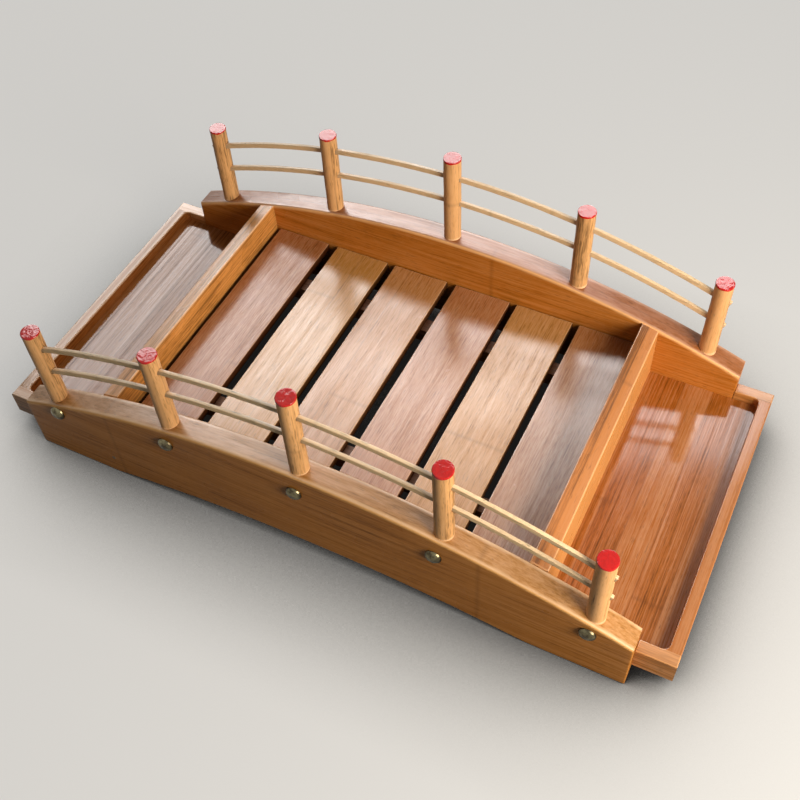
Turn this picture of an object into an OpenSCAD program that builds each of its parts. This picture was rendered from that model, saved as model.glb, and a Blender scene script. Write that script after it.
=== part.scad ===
// Arched bamboo bridge board for serving sushi: two bowed side beams, a tray at
// each end, a slatted deck between two cross walls, and a railing on each side.
// Origin: on the table, under the middle of the deck. X runs along the bridge,
// Y from the front beam to the back beam, Z up. Millimetres.

/* [Overall] */
// Length over the two end trays
board_l = 420; // [410:1:450]
// Clear width between the two beams
inner_w = 176; // [130:1:220]

/* [Beams] */
// Thickness of each beam
beam_t = 14.5; // [13:0.5:20]
// Height of a beam at its square ends
beam_end_h = 39.3; // [36:0.1:46]
// Height of a beam at the crown of its arc
beam_crown_h = 75; // [68:0.5:86]
// Length of the flat foot at each end of a beam
foot_l = 56; // [44:1:70]
// Rise of the shallow arch between the feet
arch_rise = 11; // [7:0.5:15]
// Chamfer that eases the long edges of a beam
beam_ease = 1.3; // [0.5:0.1:1.8]
// Chamfer on the upright corners at the beam ends
beam_corner_ease = 0.8; // [0.3:0.1:1.5]

/* [Trays] */
// Length of a tray's head past the beam ends
head_l = 22; // [15:0.5:26]
// Length of a tray's tongue between the beams, up to the cross wall on it
tongue_l = 51.5; // [46:0.5:58]
// Height of the underside of a tray over the table
tray_lift = 10; // [6:0.5:12]
// Thickness of the board a tray is cut from
tray_t = 16.3; // [14:0.1:20]
// Depth of the well routed into a tray
well_depth = 6.8; // [4:0.1:9]
// Width of the rim along the end of a tray
rim_w = 7; // [5:0.5:12]
// Width of the short rims that butt against the beam ends
ear_w = 7.2; // [5:0.1:12]
// Radius of the well's outer corners, seen from above
well_corner_r = 3.5; // [2:0.5:6]
// Radius of the cove along the foot of the end rim
well_cove_r = 2; // [1:0.1:3]
// Chamfer on the rim's outer top edge
tray_ease = 0.7; // [0.3:0.1:1.5]

/* [Cross walls] */
// Thickness of the wall between the deck and a tray
wall_t = 10.3; // [8:0.1:14]
// Chamfer on the two top edges of a cross wall
wall_ease = 0.8; // [0.3:0.1:1.5]
// Depth of the housings that hold the bearer ends
housing_depth = 3; // [2:0.5:5]

/* [Deck] */
// Height of the slats' top face over the table
deck_top = 40.7; // [39:0.1:44]
// Thickness of a slat
slat_t = 5.5; // [4:0.5:7]
// Gap between two slats
slat_gap = 5.4; // [3:0.1:6.5]
// Nominal gap between the outer slats and the cross walls
wall_gap = 1.7; // [1.6:0.1:4]
// Chamfer on the long top edges of a slat
slat_ease = 0.9; // [0.3:0.1:1.5]
// Width of the two bearers under the slats
bearer_w = 9.5; // [6:0.5:14]
// Height of the bearers
bearer_h = 10; // [6:0.5:11]
// Distance of each bearer's centre line from the middle of the deck
bearer_reach = 53; // [40:1:60]

/* [Railings] */
// Diameter of a post
post_d = 10.5; // [8:0.5:11]
// Height of a post over the beam, before the hand fitting
post_h = 57; // [52:1:70]
// Distance of the end posts from the beam ends
post_inset = 22.8; // [18:0.1:34]
// Depth of the post's end inside the beam
post_seat = 22; // [18:0.5:26]
// Chamfer round the painted top of a post
post_ease = 0.6; // [0.3:0.1:1.2]
// Height of a rail, which is a flat stick on edge
rail_w = 3.4; // [2.4:0.1:4]
// Thickness of a rail
rail_t = 2.2; // [1.4:0.1:3]
// Chamfer on the long edges of a rail
rail_ease = 0.4; // [0.2:0.1:0.6]
// Height of the upper rail over the beam's crown
rail_upper_h = 45.7; // [42:0.1:48]
// Height of the lower rail over the beam's crown
rail_lower_h = 27.3; // [20:0.1:32]
// How much lower a rail lies over the beam at the end posts than at the crown
rail_tuck = 3.2; // [0:0.1:4]
// Length of rail that shows past each end post
rail_stub = 0.6; // [0.4:0.1:4]

/* [Nails and brads] */
// Diameter of a domed nail head
nail_head_d = 9.6; // [7:0.1:11]
// Height of a domed nail head
nail_head_h = 2.8; // [2:0.1:3.4]
// Diameter of a nail's shank
nail_shank_d = 1.6; // [1.2:0.1:2.2]
// Length of a nail's shank
nail_shank_l = 11; // [7:0.5:11.5]
// Nominal distance of a nail under the top of the beam
nail_drop = 12; // [10:0.5:13]
// Diameter of a brad
brad_d = 1.3; // [1:0.1:1.6]
// Diameter of a brad's flat head
brad_head_d = 2.4; // [2:0.1:3]
// Thickness of a brad's flat head
brad_head_t = 0.6; // [0.4:0.1:1]
// Length of a brad's hold in the second piece it enters
brad_hold = 12; // [8:1:14]
// Distance of the outer tray brads from the beam ends
brad_inset = 6; // [4:0.5:10]

/* [Clearances] */
// Gap all round between two glued wooden pieces
glue_gap = 0.1; // [0.05:0.05:0.3]
// Gap round a post in its hole
post_gap = 0.1; // [0.05:0.05:0.25]
// Gap between a rail's corners and its round bore
rail_gap = 0.12; // [0.05:0.01:0.25]
// Gap round a nail or brad in its pilot hole
pilot_gap = 0.05; // [0.03:0.01:0.15]
// Gap between a slat's ends and the beams
slat_end_gap = 0.5; // [0.2:0.1:1.5]

/* [Hidden] */
SIDES = ["front", "back"];
ENDS = ["left", "right"];
TIERS = ["upper", "lower"];
slat_count = 6;
post_count = 5;

cut = 1;
$fn = 96;

// Hand-laid offset of each slat to the right, as a share of the gap
slat_creep_shares = [0.25, 0.46, 0.46, 0.6, 0.45, 0.25];
// Hand-fitted height of each post, as a share of the nominal height
post_h_shares = [1, 1, 1.055, 0.99, 0.96];
// Hand-set depth of each nail, as a share of the nominal depth
nail_drop_shares = [0.5, 1, 1.25, 1.25, 0.75];
// Hand-set place of each nail to the right of its post, as a share of the post's diameter
nail_creep_shares = [0.19, -0.11, -0.14, -0.28, -0.1];
// Place of the wall brads across the board, as a share of the clear width
wall_brad_share = 0.17;
// Share of a slat's thickness that its brads enter
slat_brad_share = 0.7;

// Beams
beam_half = board_l / 2 - head_l;
beam_l = 2 * beam_half;
beam_y = (inner_w + beam_t) / 2;
beam_out_y = inner_w / 2 + beam_t;
beam_bow = beam_crown_h - beam_end_h;
beam_r = (beam_half ^ 2 + beam_bow ^ 2) / (2 * beam_bow);
beam_centre_z = beam_crown_h - beam_r;
beam_sweep = 2 * atan((beam_half + beam_t) / -beam_centre_z);
arch_half = beam_half - foot_l;
arch_r = (arch_half ^ 2 + arch_rise ^ 2) / (2 * arch_rise);

// Cross walls and deck: the slats fill the length between the walls
wall_out_x = beam_half - tongue_l;
wall_in_x = wall_out_x - wall_t;
wall_mid_x = (wall_out_x + wall_in_x) / 2;
slat_w = (2 * (wall_in_x - wall_gap) - (slat_count - 1) * slat_gap) / slat_count;
bearer_top = deck_top - slat_t;
bearer_under = bearer_top - bearer_h;

// Trays
tray_top = tray_lift + tray_t;
head_in_x = beam_half + glue_gap;
head_half_w = inner_w / 2 + ear_w;
well_floor = tray_top - well_depth;
well_end_x = board_l / 2 - rim_w;
board_mid_z = (tray_lift + well_floor) / 2;
tray_brad_xs = [beam_half - brad_inset, wall_mid_x];

// Railings
post_end_x = beam_half - post_inset;
post_pitch = 2 * post_end_x / (post_count - 1);
rail_bow = beam_crown_h - beam_top(post_end_x) + rail_tuck;
rail_r = (post_end_x ^ 2 + rail_bow ^ 2) / (2 * rail_bow);
rail_reach = post_end_x + post_d / 2 + rail_stub;
rail_sweep = 2 * asin(rail_reach / rail_r);
rail_corner_r = max(norm([rail_w / 2, rail_t / 2 - rail_ease]), norm([rail_w / 2 - rail_ease, rail_t / 2]));
rail_bore_d = 2 * (rail_corner_r + rail_gap);

// Nails and brads: the wall brads and slat brads are driven up from below
nail_dome_r = (nail_head_d ^ 2 / 4 + nail_head_h ^ 2) / (2 * nail_head_h);
wall_brad_l = well_floor - tray_lift + brad_hold;
slat_brad_l = bearer_h + slat_t * slat_brad_share;

// Height of the beam's top face at x
function beam_top(x) = beam_centre_z + sqrt(beam_r ^ 2 - x ^ 2);
// Place of post i along the beam
function post_x(i) = (i - (post_count - 1) / 2) * post_pitch;
// Height of a tier of rail over the beam's crown
function rail_over(tier) = tier == "upper" ? rail_upper_h : rail_lower_h;
// Height of the rail's centre line at x
function rail_z(tier, x) = beam_crown_h + rail_over(tier) - rail_r + sqrt(rail_r ^ 2 - x ^ 2);
// Place and height of nail i
function nail_x(i) = post_x(i) + post_d * nail_creep_shares[i];
function nail_z(i) = beam_top(post_x(i)) - nail_drop * nail_drop_shares[i];
// Left edge of slat i
function slat_x(i) = -wall_in_x + wall_gap + i * (slat_w + slat_gap) + slat_creep_shares[i] * slat_gap;

// Pieces are drawn for the front and the right end, and mirrored for the others
module on_side(side) {
    if (side == "back") mirror([0, 1, 0]) children();
    else children();
}

module at_end(end) {
    if (end == "left") mirror([1, 0, 0]) children();
    else children();
}

// Rectangle with cut corners, centred
module eased_rect(size, ease) {
    x = size[0] / 2;
    y = size[1] / 2;
    polygon([
        [ease - x, -y], [x - ease, -y], [x, ease - y], [x, y - ease],
        [x - ease, y], [ease - x, y], [-x, y - ease], [-x, ease - y],
    ]);
}

// Section with cut top corners, from x0 to x1 and z0 to z1
module eased_top(x0, x1, z0, z1, ease) {
    polygon([[x0, z0], [x1, z0], [x1, z1 - ease], [x1 - ease, z1], [x0 + ease, z1], [x0, z1 - ease]]);
}

// Lays a section drawn in X and Z along Y, centred
module along_y(length) {
    rotate([90, 0, 0]) linear_extrude(length, center = true) children();
}

// Pilot hole or brad along +Z from its head at z = 0, grown by the gap
module brad_form(length, gap) {
    cylinder(d = brad_head_d + 2 * gap, h = brad_head_t + gap);
    cylinder(d = brad_d + 2 * gap, h = length + gap);
}

// Puts a child that lies along +Z at the front beam's outer face, pointing inwards
module from_front(x, z) {
    translate([x, -beam_out_y, z]) rotate([-90, 0, 0]) children();
}

// Bow of the beam with eased top edges, before its ends and arch are cut
module beam_bow_blank() {
    top = beam_t / 2;
    inner_r = -beam_centre_z - cut;
    rotate([90, (beam_sweep - 180) / 2, 0]) rotate_extrude(angle = beam_sweep)
        polygon([
            [inner_r, -top], [beam_r - beam_ease, -top], [beam_r, beam_ease - top],
            [beam_r, top - beam_ease], [beam_r - beam_ease, top], [inner_r, top],
        ]);
}

// Disc that cuts the arch under a beam and eases its lower edges
module arch_cutter() {
    flare = beam_ease + cut;
    side = beam_t / 2;
    translate([0, 0, arch_rise - arch_r]) rotate([90, 0, 0]) rotate_extrude()
        polygon([
            [0, -side - cut], [arch_r + flare, -side - cut], [arch_r, beam_ease - side],
            [arch_r, side - beam_ease], [arch_r + flare, side + cut], [0, side + cut],
        ]);
}

module beam() {
    color("#b07a3c") difference() {
        translate([0, -beam_y, 0]) difference() {
            intersection() {
                translate([0, 0, beam_centre_z]) beam_bow_blank();
                linear_extrude(beam_crown_h + cut) eased_rect([beam_l, beam_t], beam_corner_ease);
            }
            arch_cutter();
        }
        for (i = [0 : post_count - 1]) {
            translate([post_x(i), -beam_y, beam_top(post_x(i)) - post_seat])
                cylinder(d = post_d + 2 * post_gap, h = post_seat + beam_t);
            from_front(nail_x(i), nail_z(i))
                cylinder(d = nail_shank_d + 2 * pilot_gap, h = nail_shank_l + pilot_gap);
        }
        for (x = tray_brad_xs, s = [-1, 1]) from_front(s * x, board_mid_z)
            brad_form(beam_t + brad_hold, pilot_gap);
    }
}

// Board of a tray: a tongue between the beams and a wider head past their ends
module tray_blank() {
    tongue_y = inner_w / 2 - glue_gap;
    translate([wall_in_x, -tongue_y, tray_lift])
        cube([board_l / 2 - rim_w / 2 - wall_in_x, 2 * tongue_y, tray_t]);
    intersection() {
        along_y(2 * head_half_w + cut)
            polygon([
                [head_in_x, tray_lift], [board_l / 2, tray_lift], [board_l / 2, tray_top - tray_ease],
                [board_l / 2 - tray_ease, tray_top], [head_in_x, tray_top],
            ]);
        rotate([90, 0, 90]) linear_extrude(board_l)
            eased_top(-head_half_w, head_half_w, tray_lift, tray_top, tray_ease);
    }
}

// Space of the well, with round outer corners
module well_cutter() {
    half = inner_w / 2;
    r = well_corner_r;
    translate([0, 0, well_floor]) linear_extrude(well_depth + cut) {
        translate([wall_in_x - cut, -half])
            square([well_end_x - r - wall_in_x + cut, 2 * half]);
        translate([well_end_x - r - cut, r - half]) square([r + cut, 2 * (half - r)]);
        for (s = [-1, 1]) translate([well_end_x - r, s * (half - r)]) circle(r);
    }
}

// Cove that joins the floor of the well to the end rim
module well_cove() {
    r = well_cove_r;
    y = inner_w - 2 * well_corner_r;
    along_y(y) difference() {
        translate([well_end_x - r, well_floor - glue_gap]) square([r + glue_gap, r + glue_gap]);
        translate([well_end_x - r, well_floor + r]) circle(r);
    }
}

module tray() {
    color("#b5652b") difference() {
        union() {
            difference() {
                tray_blank();
                well_cutter();
            }
            well_cove();
        }
        for (x = tray_brad_xs) for (side = SIDES) on_side(side) from_front(x, board_mid_z)
            cylinder(d = brad_d + 2 * pilot_gap, h = beam_t + brad_hold + pilot_gap);
        wall_brad_places() brad_form(wall_brad_l, pilot_gap);
    }
}

// Places of the brads that hold the cross wall on a tray
module wall_brad_places() {
    for (s = [-1, 1]) translate([wall_mid_x, s * wall_brad_share * inner_w, tray_lift]) children();
}

module cross_wall() {
    color("#d98e3a") difference() {
        along_y(inner_w - 2 * glue_gap)
            polygon([
                [wall_in_x, well_floor], [wall_out_x, well_floor],
                [wall_out_x, beam_top(wall_out_x) - wall_ease],
                [wall_out_x - wall_ease, beam_top(wall_out_x - wall_ease)],
                [wall_in_x + wall_ease, beam_top(wall_in_x + wall_ease)],
                [wall_in_x, beam_top(wall_in_x) - wall_ease],
            ]);
        for (s = [-1, 1])
            translate([wall_in_x - cut, s * bearer_reach - bearer_w / 2 - glue_gap, bearer_under])
                cube([housing_depth + cut, bearer_w + 2 * glue_gap, bearer_h + glue_gap]);
        wall_brad_places()
            cylinder(d = brad_d + 2 * pilot_gap, h = wall_brad_l + pilot_gap);
    }
}

module slat(i) {
    x = slat_x(i);
    color(["#a9785c", "#dcb890", "#d8ab95", "#cf9f8e", "#d9b797", "#bfa08c"][i]) difference() {
        along_y(inner_w - 2 * slat_end_gap)
            eased_top(x, x + slat_w, bearer_top, deck_top, slat_ease);
        slat_brad_places(i) cylinder(d = brad_d + 2 * pilot_gap, h = slat_brad_l + pilot_gap);
    }
}

// Places of the brads that hold slat i on the two bearers
module slat_brad_places(i) {
    for (s = [-1, 1]) translate([slat_x(i) + slat_w / 2, s * bearer_reach, bearer_under]) children();
}

module bearer() {
    color("#8a5f33") difference() {
        translate([-wall_in_x - housing_depth + glue_gap, -bearer_reach - bearer_w / 2, bearer_under])
            cube([2 * (wall_in_x + housing_depth - glue_gap), bearer_w, bearer_h]);
        for (i = [0 : slat_count - 1]) slat_brad_places(i) brad_form(slat_brad_l, pilot_gap);
    }
}

module post(i) {
    x = post_x(i);
    z0 = beam_top(x) - post_seat;
    length = post_seat + post_h * post_h_shares[i];
    r = post_d / 2;
    color("#d2a45f") difference() {
        translate([x, -beam_y, z0]) rotate_extrude()
            polygon([[0, 0], [r, 0], [r, length - post_ease], [r - post_ease, length], [0, length]]);
        for (tier = TIERS) translate([x, -beam_y, rail_z(tier, x)]) rotate([0, 90 + asin(x / rail_r), 0])
            cylinder(d = rail_bore_d, h = post_d + 2 * cut, center = true);
        from_front(nail_x(i), nail_z(i))
            cylinder(d = nail_shank_d + 2 * pilot_gap, h = nail_shank_l + pilot_gap);
    }
}

module rail(tier) {
    color("#c9a86a") translate([0, -beam_y, beam_crown_h + rail_over(tier) - rail_r])
        rotate([90, (rail_sweep - 180) / 2, 0]) rotate_extrude(angle = rail_sweep)
            translate([rail_r, 0]) eased_rect([rail_w, rail_t], rail_ease);
}

module dome_nails() {
    color("#6f6238") for (i = [0 : post_count - 1]) from_front(nail_x(i), nail_z(i)) {
        cylinder(d = nail_shank_d, h = nail_shank_l);
        rotate([180, 0, 0]) rotate_extrude() intersection() {
            translate([0, nail_head_h - nail_dome_r]) circle(nail_dome_r);
            square([nail_head_d, nail_head_h]);
        }
    }
}

module tray_brads() {
    color("#9a8a5a") for (x = tray_brad_xs, s = [-1, 1]) from_front(s * x, board_mid_z)
        brad_form(beam_t + brad_hold, 0);
}

module wall_brads() {
    color("#9a8a5a") for (end = ENDS) at_end(end) wall_brad_places() brad_form(wall_brad_l, 0);
}

module slat_brads() {
    color("#9a8a5a") for (i = [0 : slat_count - 1]) slat_brad_places(i) brad_form(slat_brad_l, 0);
}

for (s = SIDES) on_side(s) beam();
for (e = ENDS) at_end(e) tray();
for (e = ENDS) at_end(e) cross_wall();
for (i = [0 : slat_count - 1]) slat(i);
for (s = SIDES) on_side(s) bearer();
for (s = SIDES, i = [0 : post_count - 1])
    on_side(s) post(i);
for (s = SIDES, t = TIERS) on_side(s) rail(t);
for (s = SIDES) on_side(s) dome_nails();
for (s = SIDES) on_side(s) tray_brads();
wall_brads();
slat_brads();
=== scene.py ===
"""The looks of a bamboo bridge board for serving sushi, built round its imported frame.

Sizes are in millimetres until a finished mesh is scaled to metres. Places come from the frame's
pieces. X runs along the bridge, Y from the front beam to the back beam, Z up.
"""

import math

import bmesh
import bpy
from mathutils import Euler, Matrix, Vector, noise


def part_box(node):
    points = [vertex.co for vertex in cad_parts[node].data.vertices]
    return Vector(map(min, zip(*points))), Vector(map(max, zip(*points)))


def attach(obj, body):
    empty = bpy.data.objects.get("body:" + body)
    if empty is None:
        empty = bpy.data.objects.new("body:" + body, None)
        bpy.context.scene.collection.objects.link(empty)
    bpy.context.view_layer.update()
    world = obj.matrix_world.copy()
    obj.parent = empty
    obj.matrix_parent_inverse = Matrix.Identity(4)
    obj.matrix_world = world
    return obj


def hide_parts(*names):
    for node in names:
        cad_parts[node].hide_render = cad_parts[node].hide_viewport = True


bl_info = {
    "name": "Bamboo bridge board",
    "version": (1, 0, 0),
    "blender": (4, 5, 0),
    "location": "View3D > Sidebar > Bridge board",
    "description": "Builds the bamboo, the painted posts and the brass nails of a bridge board",
    "category": "Object",
}

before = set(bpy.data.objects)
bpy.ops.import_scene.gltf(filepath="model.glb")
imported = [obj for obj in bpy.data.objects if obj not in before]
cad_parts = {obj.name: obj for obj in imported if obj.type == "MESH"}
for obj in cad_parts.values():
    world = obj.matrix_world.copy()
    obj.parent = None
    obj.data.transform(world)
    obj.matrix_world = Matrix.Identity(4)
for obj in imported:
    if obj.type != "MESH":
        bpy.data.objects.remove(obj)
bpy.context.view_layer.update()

MM = 0.001
SIDES = ("front", "back")
ENDS = ("left", "right")
TIERS = ("upper", "lower")
SLATS = 6
POSTS = 5

# In millimetres: how deep a post stands in its beam, how much lower its top is cut for the paint,
# how high the fibres are torn at its foot, how far beside it its nail may lie, how far apart a
# cane's joints are, how close a point counts as there, and the shortest edge that is kept
POST_SEAT = 22.0
PAINT_ROOM = 0.3
TORN_RING = 1.6
NAIL_REACH = 12.0
JOINT_PITCH = 230.0
NEAR = 0.01
SHORTEST = 0.006

# Rounding of edges that hardly show, in millimetres
BEAM_END_EASE = 0.8
TRAY_UNDER_EASE = 0.6
SLAT_UNDER_EASE = 0.4
RAIL_EASE = 0.5

# How finely a beam's grid and a rail's sweep are divided
BEAM_STEPS = 94
BEAM_ROWS = 6
RAIL_STEPS = 110

# Edges turn by more than these where they are rounded, shaded as sharp, or kept in a flat face
CORNER_ANGLE = math.radians(50)
SHADING_ANGLE = math.radians(38)
FLAT_ANGLE = 0.01

# Seed of the waves that hand work leaves, which would otherwise change from run to run
WAVE_SEED = 11


# Colours, places and small helpers


def linear(hex_colour):
    """Linear colour with alpha of an sRGB hex value such as #b5763a."""
    parts = [int(hex_colour[i : i + 2], 16) / 255 for i in (1, 3, 5)]
    return (*[p / 12.92 if p <= 0.04045 else ((p + 0.055) / 1.055) ** 2.4 for p in parts], 1.0)


def place(node):
    """Lowest and highest corner of a frame piece, in millimetres."""
    low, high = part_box(node)
    return low / MM, high / MM


def place_near(node, x, reach):
    """Lowest and highest corner of what a frame piece has within reach of x, in millimetres."""
    near = [v.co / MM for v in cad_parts[node].data.vertices if abs(v.co.x / MM - x) < reach]
    low = Vector([min(p[i] for p in near) for i in range(3)])
    high = Vector([max(p[i] for p in near) for i in range(3)])
    return low, high


def add(tree, kind, inputs=None, **settings):
    """Adds a shader node, applies its settings, and fills or links its inputs."""
    node = tree.nodes.new(kind)
    for name, value in settings.items():
        setattr(node, name, value)
    for name, value in (inputs or {}).items():
        if isinstance(value, bpy.types.NodeSocket):
            tree.links.new(value, node.inputs[name])
        else:
            node.inputs[name].default_value = value
    return node


def reckon(tree, operation, *values):
    """Adds a sum on shader values, and gives its result."""
    return add(tree, "ShaderNodeMath", dict(enumerate(values)), operation=operation).outputs[0]


def spread(tree, value, start, end, low=0.0, high=1.0):
    """Maps a shader value from between start and end to between low and high."""
    limits = {"Value": value, "From Min": start, "From Max": end, "To Min": low, "To Max": high}
    return add(tree, "ShaderNodeMapRange", limits).outputs[0]


def mix(tree, share, first, second, blend="MIX"):
    """Mixes two colours in a shader, and gives the result."""
    colours = {"Factor": share, "A": first, "B": second}
    node = add(tree, "ShaderNodeMix", colours, data_type="RGBA", blend_type=blend)
    return node.outputs["Result"]


def new_material(name):
    """An empty material, and its tree."""
    material = bpy.data.materials.get(name)
    if material:
        bpy.data.materials.remove(material)
    material = bpy.data.materials.new(name)
    material.use_nodes = True
    material.node_tree.nodes.clear()
    return material, material.node_tree


# Materials


def wood_tones(middle, rubbed):
    """Dark, middle, light and worn tone of a wood, from its middle one."""
    middle = Vector(middle[:3])
    light = middle.lerp(Vector((1.0, 0.62, 0.35)), 0.16)
    worn = middle.lerp(Vector((1.0, 0.72, 0.46)), rubbed)
    return [(*tone, 1.0) for tone in (middle * 0.42, middle, light, worn)]


def bamboo(
    name,
    colour,
    grain="X",
    strip=18,
    seed=0,
    roughness=0.4,
    ior=1.5,
    fibre=1.0,
    length=1.0,
    relief=0.25,
    uneven=0.12,
    rubbed=0.4,
    stack=False,
    top="#ffffff",
    flank_shade="#ffffff",
    **other,
):
    """Laminated bamboo: strips glued side by side, each with its own tint, long fibres, short dark
    pores and a faint line where the cane had a joint. The grain runs along one axis.

    strip is the width of a strip and fibre that of a bundle of fibres, both in millimetres. A real
    bundle is 0.3 mm wide, too fine to show, so it is drawn coarser. length stretches the fibres,
    relief is how far they can be felt, uneven is how much the gloss changes from one to the next,
    and rubbed is how pale the worn edges are. stack lays the strips over each other instead of side
    by side. top and flank_shade are painted shade: tints that darken the faces that look up and
    sideways, for how light falls there, and other changes the shares that make the tone.
    """
    material, tree = new_material(name)
    dark, middle, light, worn_tone = wood_tones(colour, rubbed)
    turn = {"X": (0, 0, 0), "Y": (0, 0, -math.pi / 2), "Z": (0, math.pi / 2, 0)}[grain]
    if stack:
        turn = (math.pi / 2, 0, 0)
    spot = add(tree, "ShaderNodeTexCoord")
    wood = add(
        tree,
        "ShaderNodeMapping",
        {
            "Vector": spot.outputs["Object"],
            "Scale": (1 / MM, 1 / MM, 1 / MM),
            "Rotation": turn,
            "Location": (seed * 37.7, seed * 11.3 + 2.1, seed * 5.9 + 1.7),
        },
    )
    axes = add(tree, "ShaderNodeSeparateXYZ", {0: wood.outputs[0]})

    # Strips: each with a random value of its own, and a thin glue line between two of them
    strip_id = reckon(tree, "FLOOR", reckon(tree, "DIVIDE", axes.outputs["Y"], strip))
    white = add(tree, "ShaderNodeTexWhiteNoise", {"W": strip_id}, noise_dimensions="1D")
    chance = white.outputs["Value"]
    off_line = reckon(tree, "PINGPONG", axes.outputs["Y"], strip / 2)

    # Fibres, each strip's own stretch of them, up to 613 mm further along
    along = reckon(tree, "ADD", axes.outputs["X"], reckon(tree, "MULTIPLY", chance, 613.0))
    moved = add(
        tree,
        "ShaderNodeCombineXYZ",
        {0: along, 1: axes.outputs["Y"], 2: axes.outputs["Z"]},
    )
    grains = {}
    for kind, reach, width, detail in (
        ("fine", 16 * length, fibre, 3.0),
        ("broad", 90 * length, 3.6 * fibre, 3.0),
        ("dash", 6.5, 0.75, 1.0),
        ("cloud", 34, 26, 2.0),
    ):
        at = add(
            tree,
            "ShaderNodeMapping",
            {"Vector": moved.outputs[0], "Scale": (1 / reach, 1 / width, 1 / width)},
        )
        grains[kind] = add(
            tree,
            "ShaderNodeTexNoise",
            {"Vector": at.outputs[0], "Scale": 1.0, "Detail": detail, "Roughness": 0.55},
        ).outputs["Fac"]

    # Tone: the shares of strip, broad streak, fine fibre, short dash and cloud
    shares = {"strip_share": 0.3, "broad": 0.5, "fine": 1.3, "dash": 0.6, "cloud": 0.4, **other}
    least = 0.5 - sum(shares.values()) / 2
    tone = reckon(tree, "MULTIPLY_ADD", chance, shares["strip_share"], least)
    for kind, grain_value in grains.items():
        tone = reckon(tree, "MULTIPLY_ADD", grain_value, shares[kind], tone)
    ramp = add(tree, "ShaderNodeValToRGB", {"Fac": tone})
    stops = ramp.color_ramp.elements
    stops[0].position, stops[0].color = 0.0, dark
    stops[1].position, stops[1].color = 0.76, light
    stops.new(0.36).color = middle

    # Darker marks: pores where the bundles are cut, glue lines, and the cane's joints
    off_joint = reckon(tree, "PINGPONG", along, JOINT_PITCH / 2)
    shade = ramp.outputs["Color"]
    for source, start, end, share in (
        (grains["dash"], 0.6, 0.76, 0.55),
        (off_line, 0.6, 0.0, 0.4),
        (off_joint, 2.0, 0.0, 0.3),
    ):
        shade = mix(tree, spread(tree, source, start, end, high=share), shade, dark)

    # Edges are sanded through to paler wood, raggedly
    worn = add(tree, "ShaderNodeAttribute", attribute_name="worn", attribute_type="GEOMETRY")
    ragged = reckon(tree, "MULTIPLY_ADD", grains["broad"], 0.9, worn.outputs["Fac"])
    wear = spread(tree, ragged, 0.65, 1.2, high=0.8)
    shade = mix(tree, wear, shade, worn_tone)

    # Painted shade: tints darken the faces that look up or sideways, for how light falls there
    normal = add(tree, "ShaderNodeNewGeometry").outputs["Normal"]
    facing = add(tree, "ShaderNodeSeparateXYZ", {0: normal})
    upward = spread(tree, facing.outputs["Z"], 0.6, 0.95)
    shade = mix(tree, 1.0, shade, mix(tree, upward, linear(flank_shade), linear(top)), "MULTIPLY")

    # Varnish: a thin coat that leaves the fibres to be felt, with duller patches
    dull = spread(tree, grains["cloud"], 0.3, 0.7, roughness * 0.8, roughness * 1.2)
    felt = reckon(tree, "MULTIPLY_ADD", grains["broad"], 1.5, grains["fine"])
    bump = add(
        tree,
        "ShaderNodeBump",
        {"Height": felt, "Strength": relief, "Distance": 0.06 * MM},
    )

    # It sinks into some fibres, which shine less, and lies thicker on the faces that look up
    sunk = spread(tree, felt, 0.95, 1.55, 0.5 - uneven, 0.5 + uneven)
    gloss = reckon(tree, "MULTIPLY", sunk, spread(tree, upward, 0.0, 1.0, 0.15))
    surface = add(
        tree,
        "ShaderNodeBsdfPrincipled",
        {
            "Base Color": shade,
            "Roughness": dull,
            "IOR": ior,
            "Specular IOR Level": gloss,
            "Normal": bump.outputs[0],
        },
    )
    add(tree, "ShaderNodeOutputMaterial", {"Surface": surface.outputs[0]})
    return material


def enamel_paint():
    """Red enamel, brushed on by hand: uneven pools, fine cracks where it dried, and a gloss."""
    material, tree = new_material("red enamel, brushed on")
    finish = bpy.context.scene.bridge_finish
    thin, full = tuple(finish.paint_dark), tuple(finish.paint)
    spot = add(tree, "ShaderNodeTexCoord")
    pool = add(
        tree,
        "ShaderNodeTexNoise",
        {
            "Vector": spot.outputs["Object"],
            "Scale": 1 / (3.2 * MM),
            "Detail": 1.5,
            "Distortion": 0.6,
        },
    )
    crack = add(
        tree,
        "ShaderNodeTexVoronoi",
        {"Vector": spot.outputs["Object"], "Scale": 1 / (3.6 * MM)},
        feature="DISTANCE_TO_EDGE",
    )
    line = spread(tree, crack.outputs["Distance"], 0.0, 0.1, 0.3, 0.0)
    shade = mix(tree, line, mix(tree, pool.outputs["Fac"], thin, full), thin)
    height = reckon(tree, "MULTIPLY_ADD", line, -0.25, pool.outputs["Fac"])
    bump = add(
        tree,
        "ShaderNodeBump",
        {"Height": height, "Strength": 0.6, "Distance": 0.5 * MM},
    )
    surface = add(
        tree,
        "ShaderNodeBsdfPrincipled",
        {"Base Color": shade, "Roughness": 0.14, "IOR": 1.4, "Normal": bump.outputs[0]},
    )
    add(tree, "ShaderNodeOutputMaterial", {"Surface": surface.outputs[0]})
    return material


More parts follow.
